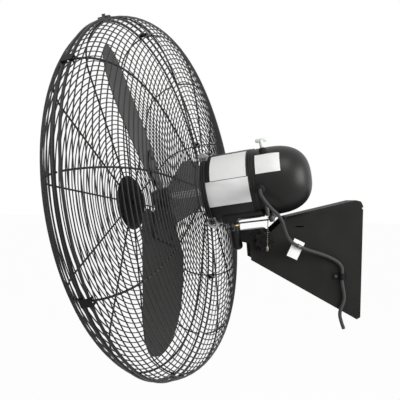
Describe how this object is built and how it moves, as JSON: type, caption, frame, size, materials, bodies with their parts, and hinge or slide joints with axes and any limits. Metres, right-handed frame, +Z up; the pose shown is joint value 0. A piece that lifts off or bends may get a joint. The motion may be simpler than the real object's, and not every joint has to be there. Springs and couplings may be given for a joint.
{
  "type": "wall mounted fan",
  "caption": "Oscillating guarded fan with three blades on a folded steel wall bracket, with tilt knob, pull chain switch and power lead.",
  "frame": {"origin": "middle of the bracket's back face, on the wall", "axes": "+Z up, +Y into the wall, the fan blows towards -Y, +X towards the knob side"},
  "size_m": [0.8133, 0.6551, 0.8403],
  "materials": {
    "bracket_paint": "semi-gloss black powder coat",
    "motor_paint": "gloss black enamel",
    "guard_wire": "black coated steel wire",
    "blade_metal": "satin black",
    "zinc": "bright zinc",
    "dark_steel": "blackened steel",
    "bright_steel": "machined",
    "brass": "turned",
    "copper": "enamelled windings",
    "rubber": "matt",
    "black_plastic": "fine texture",
    "clear_plastic": "translucent white",
    "gear_plastic": "natural",
    "label": "bare white film"
  },
  "bodies": {
    "bracket": {"wall_bracket": "bracket_paint", "cord_clip": "black_plastic", "cord_clip_screw": "dark_steel", "tilt_bolt": "dark_steel", "power_cord": "rubber", "cord_tag": "label"},
    "tilt_knob": {"star_knob": "black_plastic"},
    "neck": {"neck_arm": "motor_paint", "friction_washer_near": "zinc", "friction_washer_far": "zinc", "thrust_washer": "brass", "anchor_pin": "dark_steel"},
    "head": {"swivel_post": "bright_steel", "motor_base": "motor_paint", "motor_barrel": "motor_paint", "front_end_bell": "motor_paint", "front_bearing": "bright_steel", "rear_end_bell": "motor_paint", "rear_bearing": "bright_steel", "gearbox_housing": "motor_paint", "stator_core": "dark_steel", "winding_front": "copper", "winding_rear": "copper", "run_capacitor": "black_plastic", "pull_switch": "zinc", "cord_grommet": "rubber", "label_barrel_upper": "label", "label_barrel_lower": "label", "label_housing": "label", "guard_ear_1": "zinc", "guard_ear_2": "zinc", "guard_ear_3": "zinc", "ear_screw_1": "dark_steel", "ear_screw_2": "dark_steel", "ear_screw_3": "dark_steel", "front_guard": "guard_wire", "rear_guard": "guard_wire", "guard_clip_1": "guard_wire", "guard_clip_2": "guard_wire", "guard_clip_3": "guard_wire", "guard_clip_4": "guard_wire", "guard_clip_5": "guard_wire", "guard_clip_6": "guard_wire", "guard_latch": "zinc", "hub_badge": "black_plastic", "badge_clamp": "black_plastic", "knob_boot": "rubber"},
    "fan": {"motor_shaft": "bright_steel", "rotor_core": "dark_steel", "blade_spider": "dark_steel", "blade_1": "blade_metal", "blade_2": "blade_metal", "blade_3": "blade_metal"},
    "crank": {"output_crank": "dark_steel", "worm_wheel": "gear_plastic", "crank_bolt": "dark_steel"},
    "link": {"link_rod": "zinc"},
    "stop_knob": {"oscillation_knob": "clear_plastic"},
    "chain": {"pull_chain": "zinc"}
  },
  "joints": [
    {"name": "tilt", "type": "hinge", "parent": "bracket", "child": "neck", "pos_m": [0, -0.2275, 0.04], "axis": [1, 0, 0], "range_deg": [-5, 20]},
    {"name": "tilt_knob_turn", "type": "hinge", "parent": "bracket", "child": "tilt_knob", "pos_m": [0.055, -0.2275, 0.04], "axis": [1, 0, 0], "continuous": true},
    {"name": "oscillation", "type": "hinge", "parent": "neck", "child": "head", "pos_m": [0, -0.28108, 0.02091], "axis": [0, -0.1754, 0.9845], "range_deg": [-28.7, 61.3], "deforming": ["power_cord", "pull_chain"]},
    {"name": "fan_spin", "type": "hinge", "parent": "head", "child": "fan", "pos_m": [0, -0.3056, 0.15854], "axis": [-0.2807, -0.9449, -0.1683], "continuous": true},
    {"name": "crank_turn", "type": "hinge", "parent": "head", "child": "crank", "pos_m": [0.05295, -0.21437, 0.13437], "axis": [0, -0.1754, 0.9845], "range_deg": [-61.3, 28.7]},
    {"name": "link_turn", "type": "hinge", "parent": "crank", "child": "link", "pos_m": [0.07598, -0.21311, 0.08888], "axis": [0, -0.1754, 0.9845], "range_deg": [-28.7, 61.3]},
    {"name": "stop_knob_pull", "type": "slide", "parent": "head", "child": "stop_knob", "axis": [0, -0.1754, 0.9845], "range_m": [0, 0.006]},
    {"name": "chain_pull", "type": "slide", "parent": "head", "child": "chain", "axis": [0, 0.1754, -0.9845], "range_m": [0, 0.008], "stiffness_N_per_m": 400}
  ],
  "couplings": [
    {"joint": "crank_turn", "follows": "oscillation", "ratio": -1},
    {"joint": "link_turn", "follows": "oscillation", "ratio": 1}
  ]
}
